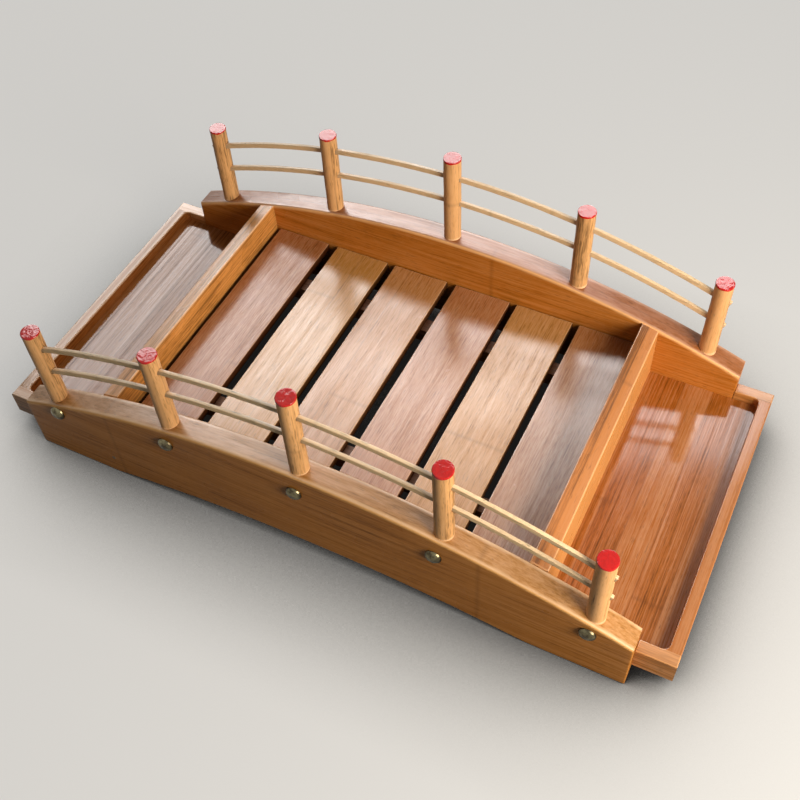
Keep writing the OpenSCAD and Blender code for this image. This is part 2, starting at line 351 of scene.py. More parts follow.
def antique_brass():
    """Brass, pressed and darkened: blotches of tarnish between rubbed and glossy metal."""
    material, tree = new_material("antique brass, pressed")
    finish = bpy.context.scene.bridge_finish
    spot = add(tree, "ShaderNodeTexCoord")
    tarnish = add(
        tree,
        "ShaderNodeTexNoise",
        {"Vector": spot.outputs["Object"], "Scale": 1 / (3.5 * MM), "Detail": 2.0},
    ).outputs["Fac"]
    rubbed = spread(tree, tarnish, 0.36, 0.64)
    shade = mix(tree, rubbed, tuple(finish.brass_dark), tuple(finish.brass))
    rough = spread(tree, rubbed, 0.0, 1.0, 0.3, 0.2)
    bump = add(
        tree,
        "ShaderNodeBump",
        {"Height": tarnish, "Strength": 0.2, "Distance": 0.15 * MM},
    )
    surface = add(
        tree,
        "ShaderNodeBsdfPrincipled",
        {"Base Color": shade, "Metallic": 1.0, "Roughness": rough, "Normal": bump.outputs[0]},
    )
    add(tree, "ShaderNodeOutputMaterial", {"Surface": surface.outputs[0]})
    return material


def brad_steel():
    """Mild steel wire, drawn, browned under the varnish, with fine lines along it."""
    material, tree = new_material("mild steel, drawn wire")
    spot = add(tree, "ShaderNodeTexCoord")
    lines = add(
        tree,
        "ShaderNodeTexNoise",
        {"Vector": spot.outputs["Object"], "Scale": 1 / (0.8 * MM), "Detail": 2.0},
    )
    shade = mix(tree, lines.outputs["Fac"], linear("#5a4836"), linear("#8f7b62"))
    surface = add(
        tree,
        "ShaderNodeBsdfPrincipled",
        {"Base Color": shade, "Metallic": 0.7, "Roughness": 0.45},
    )
    add(tree, "ShaderNodeOutputMaterial", {"Surface": surface.outputs[0]})
    return material


# Mesh helpers


def lies_along(edge, axis):
    """Whether an edge runs mostly along an axis."""
    way = edge.verts[1].co - edge.verts[0].co
    return abs(way["XYZ".index(axis)]) > 0.7 * way.length


def bevel(bm, edges, reach, segments):
    """Rounds edges over, and gives the new faces."""
    return bmesh.ops.bevel(
        bm,
        geom=edges,
        offset=reach,
        segments=segments,
        profile=0.5,
        affect="EDGES",
        material=-1,
    )["faces"]


def ease(bm, edges, reach, segments=3):
    """Rounds edges over, and marks the new faces as worn."""
    layer = bm.faces.layers.float.get("worn") or bm.faces.layers.float.new("worn")
    for face in bevel(bm, edges, reach, segments):
        face[layer] = 1.0


def unsettle(bm, amount, spacing, seed, axes=(1, 1, 1)):
    """Moves points a little by smooth noise, as hand work leaves them. All in millimetres."""
    noise.seed_set(WAVE_SEED)
    for v in bm.verts:
        push = noise.noise_vector(v.co / spacing + Vector((seed * 7.3, seed * 3.1, 0.5)))
        v.co += Vector([p * a * amount for p, a in zip(push, axes)])


def finish_piece(name, bm, materials, nodes, mirrored=None):
    """Scales a shape to metres, makes it an object on the board, and hides the frame nodes that
    it stands for. A shape that is mirrored along an axis is the other side's or end's."""
    bmesh.ops.dissolve_degenerate(bm, edges=bm.edges, dist=SHORTEST)
    if mirrored:
        bmesh.ops.scale(bm, vec=[-1 if axis == mirrored else 1 for axis in "XYZ"], verts=bm.verts)
    bmesh.ops.scale(bm, vec=(MM, MM, MM), verts=bm.verts)
    bmesh.ops.recalc_face_normals(bm, faces=bm.faces)
    mesh = bpy.data.meshes.new(name)
    bm.to_mesh(mesh)
    bm.free()
    mesh.shade_smooth()
    mesh.set_sharp_from_angle(angle=SHADING_ANGLE)
    for material in materials:
        mesh.materials.append(material)
    piece = bpy.data.objects.new(name, mesh)
    bpy.context.scene.collection.objects.link(piece)
    even = piece.modifiers.new("even shading", "WEIGHTED_NORMAL")
    even.keep_sharp = True
    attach(piece, "root")
    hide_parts(*nodes)


# Shapes


def arc_height(x, half, end_z, crown_z):
    """Height at x of the arc through both ends and the crown."""
    bow = crown_z - end_z
    radius = (half**2 + bow**2) / (2 * bow)
    return crown_z - radius + math.sqrt(radius**2 - min(abs(x), half) ** 2)


def beam_shape(sizes):
    """One bowed side beam in front, with its arch, its feet and eased edges."""
    low, high = place("beam_front")
    half = high.x
    end_z = sizes.beam_end_height / MM
    kink = half - sizes.foot_length / MM
    band = sizes.pale_band / MM
    bm = bmesh.new()
    bmesh.ops.create_grid(bm, x_segments=BEAM_STEPS, y_segments=BEAM_ROWS, size=1)
    step = 2 * half / BEAM_STEPS
    for v in bm.verts:
        x = v.co.x * half
        if abs(abs(x) - kink) < step / 2:
            x = math.copysign(kink, x)
        top = arc_height(x, half, end_z, high.z)
        under = arc_height(x, kink, 0, sizes.arch_rise / MM) if abs(x) < kink else 0
        row = round((v.co.y + 1) / 2 * BEAM_ROWS)
        share = row / (BEAM_ROWS - 1)
        v.co = (x, low.y, top if row == BEAM_ROWS else under + share * (top - band - under))
    sheet = bm.faces[:]
    for depth in (band, high.y - low.y - 2 * band, band):
        sheet = pull(bm, sheet, (0, depth, 0))
    bmesh.ops.recalc_face_normals(bm, faces=bm.faces)
    at_end = [e for e in sharp_edges(bm, lambda v: abs(v.x) > half - NEAR) if lies_along(e, "Z")]
    bevel(bm, at_end, BEAM_END_EASE, 2)
    bevel(bm, long_edges(bm), sizes.edge_round / MM, 3)
    worn = bm.verts.layers.float.new("worn")
    for v in bm.verts:
        inside = min(v.co.y - low.y, high.y - v.co.y)
        fallen = arc_height(v.co.x, half, end_z, high.z) - v.co.z
        v[worn] = max(0.0, 1 - inside / band) * max(0.0, 1 - fallen / band)
    unsettle(bm, amount=0.12, spacing=40, seed=5, axes=(0, 1, 1))
    for v in bm.verts:
        v.co.z = max(v.co.z, low.z)
    return bm


def moved_grid(bm, xs, ys, z):
    """A flat grid whose lines lie at the given x and y values."""
    bmesh.ops.create_grid(bm, x_segments=len(xs) - 1, y_segments=len(ys) - 1, size=1)
    for v in bm.verts:
        column = round((v.co.x + 1) / 2 * (len(xs) - 1))
        row = round((v.co.y + 1) / 2 * (len(ys) - 1))
        v.co = (xs[column], ys[row], z)


def points(made):
    """The new points that an extrusion made."""
    return [g for g in made if isinstance(g, bmesh.types.BMVert)]


def pull(bm, faces, way):
    """Extrudes faces along a way, and gives the faces at its end. Faces left inside are dropped."""
    edges = list({e for f in faces for e in f.edges})
    made = bmesh.ops.extrude_face_region(bm, geom=faces + edges)["geom"]
    bmesh.ops.translate(bm, vec=way, verts=points(made))
    return [g for g in made if isinstance(g, bmesh.types.BMFace)]


def tray_shape(sizes):
    """The right-hand tray: a tongue between the beams, a head whose end rim stands behind the well,
    and an ear on each side, which is a piece of its own stock."""
    low, high = place("tray_right")
    beam_end = place("beam_front")[1]
    seam = sizes.glue_seam / MM
    side_y = -beam_end.y - seam
    head_x = beam_end.x + seam
    rim_x = high.x - sizes.rim_width / MM
    floor_z = high.z - sizes.well_depth / MM
    bm = bmesh.new()
    moved_grid(bm, (low.x, head_x, rim_x, high.x), (-high.y, -side_y, side_y, high.y), floor_z)
    beside = [f for f in bm.faces if f.calc_center_median().x < head_x and is_ear(f, side_y)]
    bmesh.ops.delete(bm, geom=beside, context="FACES")
    pull(bm, bm.faces[:], (0, 0, low.z - floor_z))
    bmesh.ops.recalc_face_normals(bm, faces=bm.faces)
    tops = [f for f in bm.faces if f.normal.z > 0.5]
    raised = [f for f in tops if f.calc_center_median().x > rim_x or is_ear(f, side_y)]
    pull(bm, raised, (0, 0, high.z - floor_z))
    bmesh.ops.recalc_face_normals(bm, faces=bm.faces)
    bmesh.ops.dissolve_limit(bm, angle_limit=FLAT_ANGLE, verts=bm.verts, edges=bm.edges)
    corners = [
        e
        for e in bm.edges
        if all(abs(v.co.x - rim_x) < NEAR and abs(abs(v.co.y) - side_y) < NEAR for v in e.verts)
        and lies_along(e, "Z")
    ]
    bevel(bm, corners, sizes.well_corner / MM, 6)
    foot = [
        e
        for e in bm.edges
        if all(abs(v.co.z - floor_z) + abs(v.co.x - rim_x) < NEAR for v in e.verts)
    ]
    bevel(bm, foot, sizes.well_cove / MM, 5)
    ease(bm, sharp_edges(bm, lambda v: v.z > high.z - NEAR), sizes.rim_ease / MM)
    ease(bm, sharp_edges(bm, lambda v: v.z < low.z + NEAR), TRAY_UNDER_EASE, 2)
    for y in (-side_y, side_y):
        bmesh.ops.bisect_plane(
            bm,
            geom=bm.verts[:] + bm.edges[:] + bm.faces[:],
            dist=0.001,
            plane_co=(0, y, 0),
            plane_no=(0, 1, 0),
        )
    worn = bm.faces.layers.float["worn"]
    for f in bm.faces:
        middle = f.calc_center_median()
        f.material_index = int(is_ear(f, side_y - NEAR) and middle.x > head_x - NEAR)
        # The top faces of the rim and the ears take part of the worn tone, and are drawn paler
        if f.normal.z > 0.9 and middle.z > high.z - NEAR:
            f[worn] = 0.45
    return bm


def is_ear(face, side_y):
    """Whether a face of the tray lies outside the well."""
    return abs(face.calc_center_median().y) > side_y


def sharp_edges(bm, test):
    """Outward edges that turn by more than CORNER_ANGLE and whose points all pass the test."""
    return [
        e
        for e in bm.edges
        if len(e.link_faces) == 2
        and e.is_convex
        and e.calc_face_angle(0) > CORNER_ANGLE
        and all(test(v.co) for v in e.verts)
    ]


def long_edges(bm):
    """The outward edges that run along the bridge."""
    return [e for e in sharp_edges(bm, lambda v: True) if lies_along(e, "X")]


def block(bm, low, high, cuts_x=0, cuts_y=0):
    """A block between two corners, cut across X and Y so that it can be unsettled."""
    bmesh.ops.create_cube(bm, size=1)
    middle, size = (low + high) / 2, high - low
    bmesh.ops.scale(bm, vec=size, verts=bm.verts)
    bmesh.ops.translate(bm, vec=middle, verts=bm.verts)
    for axis, cuts in ((0, cuts_x), (1, cuts_y)):
        along = [e for e in bm.edges if lies_along(e, "XYZ"[axis])]
        if cuts:
            bmesh.ops.subdivide_edges(bm, edges=along, cuts=cuts, use_grid_fill=True)


def wall_shape(sizes):
    """The right-hand cross wall, whose top follows the bow of the beams."""
    low, high = place("cross_wall_right")
    beam_top = place("beam_front")[1]
    bm = bmesh.new()
    block(bm, low, high, cuts_y=24)
    for v in bm.verts:
        if v.co.z > (low.z + high.z) / 2:
            v.co.z = arc_height(v.co.x, beam_top.x, sizes.beam_end_height / MM, beam_top.z)
    # The top edges, which the bow lowers by less than 3 mm
    ease(bm, sharp_edges(bm, lambda v: v.z > high.z - 3), sizes.wall_ease / MM)
    unsettle(bm, amount=0.12, spacing=40, seed=3, axes=(1, 0, 1))
    return bm


def slat_shape(i, sizes):
    """One deck slat, with eased top edges and the slight waves of a planed strip."""
    low, high = place(f"slat_{i}")
    bm = bmesh.new()
    block(bm, low, high, cuts_x=3, cuts_y=20)
    ease(bm, sharp_edges(bm, lambda v: v.z > high.z - NEAR), sizes.slat_ease / MM)
    ease(bm, sharp_edges(bm, lambda v: v.z < low.z + NEAR), SLAT_UNDER_EASE, 2)
    unsettle(bm, amount=0.16, spacing=28, seed=i * 1.7)
    return bm


def cut_slope(node):
    """How steeply a post's top falls to the front: three were cut less square than the others."""
    return 0.09 if node in ("post_front_3", "post_front_4", "post_front_5") else 0.015


def post_shape(node, seed):
    """One turned post: the frame's bored dowel, cut into rings and roughened by sanding, with torn
    fibres where it enters the beam."""
    low, high = place(node)
    bm = bmesh.new()
    bm.from_mesh(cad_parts[node].data)
    bmesh.ops.scale(bm, vec=(1 / MM, 1 / MM, 1 / MM), verts=bm.verts)
    bmesh.ops.remove_doubles(bm, verts=bm.verts, dist=0.002)
    bmesh.ops.dissolve_limit(bm, angle_limit=FLAT_ANGLE, verts=bm.verts, edges=bm.edges)
    foot = low.z + POST_SEAT
    for z in (foot + 0.6, foot + TORN_RING, *range(int(foot) + 4, int(high.z) - 1, 3)):
        bmesh.ops.bisect_plane(
            bm, geom=bm.verts[:] + bm.edges[:] + bm.faces[:], plane_co=(0, 0, z), plane_no=(0, 0, 1)
        )
    worn = bm.verts.layers.float.new("worn")
    for v in bm.verts:
        v[worn] = max(0.0, 1 - abs(v.co.z - foot) / TORN_RING)
        if v.co.z > high.z - 1:
            v.co.z -= PAINT_ROOM + cut_slope(node) * (high.y - v.co.y)
    unsettle(bm, amount=0.14, spacing=9, seed=seed, axes=(1, 1, 0))
    return bm


def paint_shape(nodes, sizes):
    """The paint on the post tops: a thin cap that runs a little over each rim, brushed on top."""
    bm = bmesh.new()
    for seed, node in enumerate(nodes):
        low, high = place(node)
        radius = (high.x - low.x) / 2
        centre = Vector(((low.x + high.x) / 2, (low.y + high.y) / 2, 0))
        # Radius and height, from inside the skirt round the rim to the middle of the top
        rings = (
            (radius - 0.4, high.z - sizes.paint_run / MM),
            (radius + 0.14, high.z - sizes.paint_run / MM),
            (radius + 0.14, high.z - 0.5),
            (radius - 0.1, high.z - 0.14),
            (radius - 0.7, high.z),
            (radius * 0.6, high.z),
            (radius * 0.3, high.z),
        )
        made = bmesh.ops.create_circle(bm, cap_ends=True, segments=32, radius=1)["verts"]
        turns = [math.atan2(v.co.y, v.co.x) for v in made]
        edges = list({e for v in made for e in v.link_edges})
        for step, (reach, z) in enumerate(rings):
            if step:
                grown = bmesh.ops.extrude_edge_only(bm, edges=edges)["geom"]
                edges = [g for g in grown if isinstance(g, bmesh.types.BMEdge)]
                made = points(grown)
                turns = [math.atan2(v.co.y - centre.y, v.co.x - centre.x) for v in made]
            # The skirt sags where the paint ran, and the brush left waves on top
            for v, turn in zip(made, turns):
                out = Vector((math.cos(turn), math.sin(turn), 0))
                drip = noise.noise(Vector((out.x * 1.6, out.y * 1.6, seed * 3.3)))
                sag = -0.6 * max(drip, -0.4) if step < 2 else 0
                wave = 0.12 * (noise.noise((centre + out * reach) / 2.2) - 0.4) if step > 3 else 0
                v.co = centre + out * reach
                v.co.z = z + sag + wave - cut_slope(node) * (centre.y + radius - v.co.y)
        bmesh.ops.contextual_create(bm, geom=made)
    return bm


def rail_shape(tier, sizes):
    """One bent rail in front: a flat stick on edge, on an arc through all the posts."""
    low, high = place(f"rail_front_{tier}")
    tall = sizes.rail_height / MM
    sweep = 0.0
    for _ in range(4):
        reach = high.x - tall / 2 * math.sin(sweep)
        sag = high.z - tall / 2 - low.z - tall / 2 * math.cos(sweep)
        bend = (reach**2 + sag**2) / (2 * sag)
        sweep = math.asin(reach / bend)
    centre = Vector((0, (low.y + high.y) / 2, high.z - tall / 2 - bend))
    bm = bmesh.new()
    upright = Matrix.Translation((0, 0, bend)) @ Matrix.Rotation(math.pi / 2, 4, "Y")
    section = Matrix.Diagonal((tall, high.y - low.y, 1, 1))
    start = Matrix.Translation(centre) @ Matrix.Rotation(-sweep, 4, "Y") @ upright @ section
    bmesh.ops.create_grid(bm, x_segments=1, y_segments=1, size=0.5, matrix=start)
    bmesh.ops.delete(bm, geom=bm.faces[:], context="FACES_ONLY")
    bmesh.ops.spin(
        bm, geom=bm.edges[:], cent=centre, axis=(0, 1, 0), angle=2 * sweep, steps=RAIL_STEPS
    )
    bmesh.ops.holes_fill(bm, edges=[e for e in bm.edges if e.is_boundary])
    bmesh.ops.recalc_face_normals(bm, faces=bm.faces)
    bevel(bm, long_edges(bm), RAIL_EASE, 2)
    nicks, bends = (2, 4) if tier == "upper" else (9, 7)
    unsettle(bm, amount=0.1, spacing=5, seed=nicks)
    unsettle(bm, amount=0.2, spacing=60, seed=bends, axes=(0, 1, 1))
    return bm


def nail_shape(side):
    """The domed heads of one beam's nails, each a little turned, flush on the beam's outer face."""
    face_y = place("beam_front")[0].y
    bm = bmesh.new()
    for i in range(POSTS):
        post_low, post_high = place(f"post_{side}_{i + 1}")
        low, high = place_near("dome_nails_front", (post_low.x + post_high.x) / 2, NAIL_REACH)
        radius = (high.x - low.x) / 2
        depth = face_y - low.y
        # The upper half of a ball of radius 1, with its shoulder pushed outward
        head = bmesh.ops.create_uvsphere(bm, u_segments=36, v_segments=20, radius=1)["verts"]
        under = [v for v in head if v.co.z < -0.01]
        bmesh.ops.delete(bm, geom=under, context="VERTS")
        head = [v for v in head if v.is_valid]
        for v in head:
            shoulder = max(math.hypot(v.co.x, v.co.y), 0.001) ** -0.2
            v.co.x, v.co.y = v.co.x * shoulder, v.co.y * shoulder
        rim = list({e for v in head for e in v.link_edges if e.is_boundary})
        bmesh.ops.holes_fill(bm, edges=rim)
        tilt = [0.14 * noise.noise(Vector(spot)) for spot in ((i, 0.4, 2), (i, 3.4, 1))]
        middle = Vector(((low.x + high.x) / 2, face_y, (low.z + high.z) / 2))
        outward = Matrix.Rotation(math.pi / 2, 4, "X") @ Euler((*tilt, 0)).to_matrix().to_4x4()
        size = Matrix.Diagonal((radius, radius, depth, 1))
        bmesh.ops.transform(bm, matrix=Matrix.Translation(middle) @ outward @ size, verts=head)
    return bm


def dress(node, material):
    """Gives a frame piece its finish, and leaves its shape alone."""
    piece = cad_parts[node]
    if not piece.material_slots:
        piece.data.materials.append(material)
    for held in piece.material_slots:
        held.material = material


def length_property(name, description, millimetres):
    """A length that a user can change, in Blender's own units."""
    return bpy.props.FloatProperty(
        name=name, description=description, default=millimetres * MM, min=0.0, unit="LENGTH"
    )


def colour_property(name, description, hex_colour):
    """A colour that a user can change."""
    return bpy.props.FloatVectorProperty(
        name=name,
        description=description,
        default=linear(hex_colour),
        min=0.0,
        max=1.0,
        size=4,
        subtype="COLOR",
    )


class BridgeSizes(bpy.types.PropertyGroup):
    """Sizes that the frame's boxes don't give, and how rounded the edges are."""

    beam_end_height: length_property("Beam end height", "Height of a beam at its square ends", 39.3)
    foot_length: length_property("Foot length", "Length of the flat foot at each beam end", 56)
    arch_rise: length_property("Arch rise", "Rise of the arch between the feet", 11)
    edge_round: length_property("Edge rounding", "Rounding of the beams' long edges", 1.3)
    pale_band: length_property("Pale band", "Width of the sanded band on a beam's edges", 3.4)
    glue_seam: length_property("Glue seam", "Gap between two glued pieces", 0.1)
    rim_width: length_property("Rim width", "Width of the rim at a tray's end", 7)
    well_depth: length_property("Well depth", "Depth of the well in a tray", 6.8)
    well_corner: length_property("Well corners", "Radius of a well's corners", 3.5)
    well_cove: length_property("Well cove", "Radius at the foot of a rim", 2)
    rim_ease: length_property("Rim easing", "Rounding of a rim's top edges", 0.7)
    wall_ease: length_property("Wall easing", "Rounding of a cross wall's top edges", 0.8)
    slat_ease: length_property("Slat easing", "Rounding of a slat's top edges", 0.6)
    rail_height: length_property("Rail height", "Height of a rail, a flat stick on edge", 3.4)
    paint_run: length_property("Paint run", "How far the paint runs down a post", 1.1)


class BridgeFinish(bpy.types.PropertyGroup):
    """Colours of the wood, the paint and the metal."""

    beam_front: colour_property("Front beam", "Bamboo of the front side beam", "#a4723a")
    beam_back: colour_property("Back beam", "Bamboo of the back side beam", "#b27530")
    tray_left: colour_property("Left tray", "Bamboo of the left tray board", "#a4652e")
    tray_right: colour_property("Right tray", "Bamboo of the right tray board", "#96561f")
    ear: colour_property("Tray ears", "Bamboo of the tray ends beside the beams", "#b67a40")
    wall: colour_property("Cross walls", "Bamboo of the cross walls", "#cf8d48")
    slat_1: colour_property("Slat 1", "Bamboo of the first slat from the left", "#965c32")
    slat_2: colour_property("Slat 2", "Bamboo of the second slat", "#af7c3c")
    slat_3: colour_property("Slat 3", "Bamboo of the third slat", "#a8723e")
    slat_4: colour_property("Slat 4", "Bamboo of the fourth slat", "#9e643a")
    slat_5: colour_property("Slat 5", "Bamboo of the fifth slat", "#af7c44")
    slat_6: colour_property("Slat 6", "Bamboo of the sixth slat", "#996236")
    bearer: colour_property("Bearers", "Raw bamboo of the bearers", "#9a6440")
    post: colour_property("Posts", "Bamboo of the turned posts", "#ce9c66")
    rail: colour_property("Rails", "Bamboo of the bent rails", "#dec096")
    paint: colour_property("Paint", "Red of the post tops", "#d01812")
    paint_dark: colour_property("Thin paint", "Red where the paint is thin", "#a8100c")
    brass: colour_property("Brass", "Rubbed brass", "#7c7458")
    brass_dark: colour_property("Tarnish", "Brass in the dents", "#443c2e")


class BRIDGE_OT_beams(bpy.types.Operator):
    """Build the two bowed side beams"""

    bl_idname = "bridge.beams"
    bl_label = "Side beams"

    def execute(self, context):
        finish = context.scene.bridge_finish
        for seed, side in enumerate(SIDES):
            # Steamed brown and varnished: warm brown sides, pale where a hand sanded the edge
            wood = bamboo(
                f"bamboo, caramelised and varnished, {side} beam",
                finish.beam_back if side == "back" else finish.beam_front,
                strip=15,
                seed=seed + 1,
                roughness=0.3,
                fibre=1.3,
                length=4.0,
                ior=1.5 if side == "back" else 1.44,
                # Painted shade: the top tint darkens the back beam's top, and flank_shade dims the
                # sides' blue
                top="#c8b2b0" if side == "back" else "#ffffff",
                flank_shade="#fbe6c4" if side == "back" else "#ffeabc",
                rubbed=0.85 if side == "back" else 0.6,
                strip_share=0.35,
                broad=0.35,
                fine=1.5,
            )
            finish_piece(
                f"side_beam_{side}",
                beam_shape(context.scene.bridge_sizes),
                [wood],
                [f"beam_{side}"],
                mirrored="Y" if side == "back" else None,
            )
        return {"FINISHED"}


class BRIDGE_OT_trays(bpy.types.Operator):
    """Build the two end trays"""

    bl_idname = "bridge.trays"
    bl_label = "End trays"

    def execute(self, context):
        finish = context.scene.bridge_finish
        for seed, (end, rubbed) in enumerate((("left", 0.7), ("right", 0.1))):
            # Lacquered until it mirrors the railing, over long fine fibres across the bridge
            board = bamboo(
                f"bamboo, caramelised and lacquered, {end} tray",
                finish.tray_left if end == "left" else finish.tray_right,
                grain="Y",
                strip=17,
                seed=seed + 43,
                roughness=0.12,
                ior=1.33 if end == "left" else 1.36,
                fibre=0.75,
                length=4.0,
                relief=0.08,
                uneven=0.2,
                rubbed=rubbed,
                fine=1.2,
            )
            # Thin strips laid over each other, which show as stripes along the outer sides
            ears = bamboo(
                f"bamboo, caramelised and varnished, {end} ears",
                finish.ear,
                strip=3.4,
                seed=seed + 15,
                roughness=0.3,
                length=2.0,
                rubbed=rubbed,
                stack=True,
                strip_share=0.9,
            )
            finish_piece(
                f"end_tray_{end}",
                tray_shape(context.scene.bridge_sizes),
                [board, ears],
                [f"tray_{end}"],
                mirrored="X" if end == "left" else None,
            )
        return {"FINISHED"}


class BRIDGE_OT_walls(bpy.types.Operator):
    """Build the two cross walls"""

    bl_idname = "bridge.walls"
    bl_label = "Cross walls"

    def execute(self, context):
        for seed, end in enumerate(ENDS):
            # Narrow strips on edge: honey coloured, with a satin shine
            wood = bamboo(
                f"bamboo, honey coloured and varnished, {end} wall",
                context.scene.bridge_finish.wall,
                grain="Y",
                strip=6,
                seed=seed + 21,
                roughness=0.27,
                length=3.0,
                # Painted shade: the top tint darkens the right wall's top
                top="#dccabc" if end == "right" else "#ffffff",
                strip_share=0.7,
            )
            finish_piece(
                f"wall_{end}",
                wall_shape(context.scene.bridge_sizes),
                [wood],
                [f"cross_wall_{end}"],
                mirrored="X" if end == "left" else None,
            )
        return {"FINISHED"}


class BRIDGE_OT_slats(bpy.types.Operator):
    """Build the six deck slats"""

    bl_idname = "bridge.slats"
    bl_label = "Deck slats"

    def execute(self, context):
        for i in range(1, SLATS + 1):
            # One wide strip each, flat sawn: a satin sheen, and short pores of cut bundles
            wood = bamboo(
                f"bamboo, varnished, slat {i}",
                getattr(context.scene.bridge_finish, f"slat_{i}"),
                grain="Y",
                strip=60,
                seed=i * 3 + 31,
                roughness=0.23,
                ior=1.38 if i == 1 else 1.52,
                fibre=0.9,
                rubbed=0.28,
                # Painted shade: flank_shade darkens the slats' sides, which lie in shade in the
                # gaps
                flank_shade="#6c5e56",
                broad=0.35,
                dash=0.9,
            )
            finish_piece(
                f"deck_slat_{i}",
                slat_shape(i, context.scene.bridge_sizes),
                [wood],
                [f"slat_{i}"],
            )
        return {"FINISHED"}


class BRIDGE_OT_bearers(bpy.types.Operator):
    """Finish the two bearers under the slats"""

    bl_idname = "bridge.bearers"
    bl_label = "Bearers"

    def execute(self, context):
        # Raw from the saw: dull, and dark between the slats
        finish = context.scene.bridge_finish
        wood = bamboo("bamboo, raw sawn", finish.bearer, seed=51, roughness=0.7)
        for side in SIDES:
            dress(f"bearer_{side}", wood)
        return {"FINISHED"}


class BRIDGE_OT_posts(bpy.types.Operator):
    """Build the ten posts and their painted tops"""

    bl_idname = "bridge.posts"
    bl_label = "Posts"

    def execute(self, context):
        paint = enamel_paint()
        for row, side in enumerate(SIDES):
            nodes = [f"post_{side}_{i + 1}" for i in range(POSTS)]
            for i, node in enumerate(nodes):
                # Turned and sanded: pale, dry, with dark pores along the dowel
                wood = bamboo(
                    f"bamboo dowel, sanded, {side} {i + 1}",
                    context.scene.bridge_finish.post,
                    grain="Z",
                    strip=4.5,
                    seed=61 + row * POSTS + i,
                    rubbed=0.6,
                    strip_share=0.5,
                    broad=0.8,
                    fine=1.7,
                    dash=1.1,
                )
                post = post_shape(node, row * POSTS + i)
                finish_piece(f"turned_{node}", post, [wood], [node])
            painted = paint_shape(nodes, context.scene.bridge_sizes)
            finish_piece(f"post_paint_{side}", painted, [paint], [])
        return {"FINISHED"}


class BRIDGE_OT_rails(bpy.types.Operator):
    """Build the four bent rails"""

    bl_idname = "bridge.rails"
    bl_label = "Rails"

    def execute(self, context):
        for seed, side in enumerate(SIDES):
            for step, tier in enumerate(TIERS):
                # Split from the cane and scraped: the palest wood, nearly without gloss
                wood = bamboo(
                    f"bamboo stick, split and sanded, {side} {tier}",
                    context.scene.bridge_finish.rail,
                    strip=30,
                    seed=81 + 2 * seed + step,
                    roughness=0.5,
                    fibre=0.6,
                )
                finish_piece(
                    f"bent_rail_{side}_{tier}",
                    rail_shape(tier, context.scene.bridge_sizes),
                    [wood],
                    [f"rail_{side}_{tier}"],
                    mirrored="Y" if side == "back" else None,
                )
        return {"FINISHED"}


class BRIDGE_OT_nails(bpy.types.Operator):
    """Build the domed brass nails"""

    bl_idname = "bridge.nails"
    bl_label = "Domed nails"

    def execute(self, context):
        brass = antique_brass()
        for side in SIDES:
            finish_piece(
                f"brass_nails_{side}",
                nail_shape(side),
                [brass],
                [f"dome_nails_{side}"],
                mirrored="Y" if side == "back" else None,
            )
        return {"FINISHED"}


class BRIDGE_OT_brads(bpy.types.Operator):
    """Finish the steel brads"""

    bl_idname = "bridge.brads"
    bl_label = "Brads"

    def execute(self, context):
        steel = brad_steel()
        for node in ("tray_brads_front", "tray_brads_back", "wall_brads", "slat_brads"):
            dress(node, steel)
        return {"FINISHED"}


class BRIDGE_OT_stage(bpy.types.Operator):
    """Set the floor, the studio light and the camera"""

    bl_idname = "bridge.stage"
    bl_label = "Studio"

    def execute(self, context):
        scene = context.scene
        scene.view_settings.view_transform = "Standard"
        make_floor()
        make_light()
        make_camera(scene)
        return {"FINISHED"}


# Half the floor's side in metres, how far from the board its painted shadow reaches, and the
# share of its own pale colour in what the camera sees of it
FLOOR_HALF = 4.0
FLOOR_SHADE = 0.09
FLOOR_OWN = 0.72


def make_floor():
    """A plain pale floor, dark to the light that it would throw back on the board, and with a
    painted shadow round the board.
    """
    bm = bmesh.new()
    bmesh.ops.create_grid(bm, x_segments=1, y_segments=1, size=FLOOR_HALF)
    mesh = bpy.data.meshes.new("floor")
    bm.to_mesh(mesh)
    bm.free()
    floor = bpy.data.objects.new("floor", mesh)
    bpy.context.scene.collection.objects.link(floor)
    material, tree = new_material("painted studio floor")
    # Painted shadow: ambient occlusion darkens the pale floor within FLOOR_SHADE of the board, both
    # in the colour it shows and in its lit colour
    near = add(tree, "ShaderNodeAmbientOcclusion", {"Distance": FLOOR_SHADE}, samples=8)
    open_sky = spread(tree, near.outputs["AO"], 0.4, 0.95)
    pale = mix(tree, open_sky, linear("#1e1d1c"), linear("#dcdad6"))
    shade = mix(tree, seen_plainly(tree), linear("#5a5a5a"), pale)
    lit = add(tree, "ShaderNodeBsdfDiffuse", {"Color": shade})
    shown = add(tree, "ShaderNodeEmission", {"Color": pale})
    plain = reckon(tree, "MULTIPLY", seen_plainly(tree), FLOOR_OWN)
    surface = add(tree, "ShaderNodeMixShader", {0: plain, 1: lit.outputs[0], 2: shown.outputs[0]})
    add(tree, "ShaderNodeOutputMaterial", {"Surface": surface.outputs[0]})
    mesh.materials.append(material)


def seen_plainly(tree):
    """1 for the rays that show the backdrop: straight, in a gloss, or through glass."""
    path = add(tree, "ShaderNodeLightPath")
    seen = path.outputs["Is Camera Ray"]
    for kind in ("Is Glossy Ray", "Is Transmission Ray"):
        seen = reckon(tree, "MAXIMUM", seen, path.outputs[kind])
    return seen


